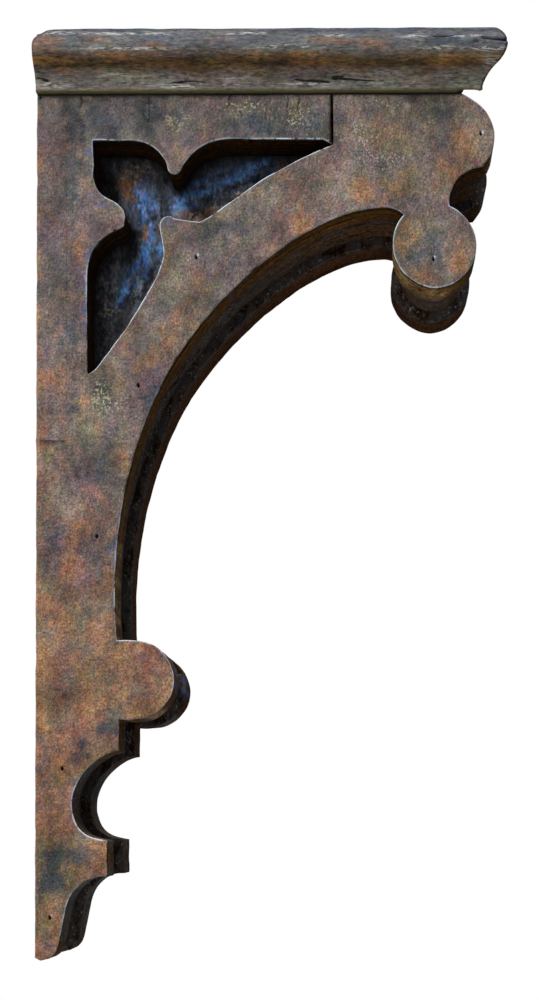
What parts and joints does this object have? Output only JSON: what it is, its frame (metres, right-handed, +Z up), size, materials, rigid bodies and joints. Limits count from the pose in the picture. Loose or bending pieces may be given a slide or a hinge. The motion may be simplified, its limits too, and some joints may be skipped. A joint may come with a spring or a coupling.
{
  "type": "carved corbel",
  "caption": "Carved wooden corbel that projects from a wall under a soffit or shelf, with a trefoil recess, an arch and a moulded cap.",
  "frame": {"origin": "centre of the flat wall edge, half-way up and half-way through the thickness", "axes": "+X out from the wall, +Y from the pictured face to the hidden face, +Z up"},
  "size_m": [0.3103, 0.1384, 0.61],
  "materials": {
    "cap_wood": "aged varnish over grey-brown paint, worn along the upper moulding",
    "face_wood": "mottled grey-brown aged paint with rubbed orange-brown patches, satin",
    "core_wood": "dark orange-brown, near black in the groove, with blue-grey paint in the recess",
    "back_wood": "grey-brown aged paint, slate grey on the inner face, satin"
  },
  "bodies": {
    "root": {"cornice_cap": "cap_wood", "front_arch_board": "face_wood", "front_corner_board": "face_wood", "front_wall_strip": "face_wood", "core_board": "core_wood", "back_board": "back_wood"}
  },
  "joints": []
}
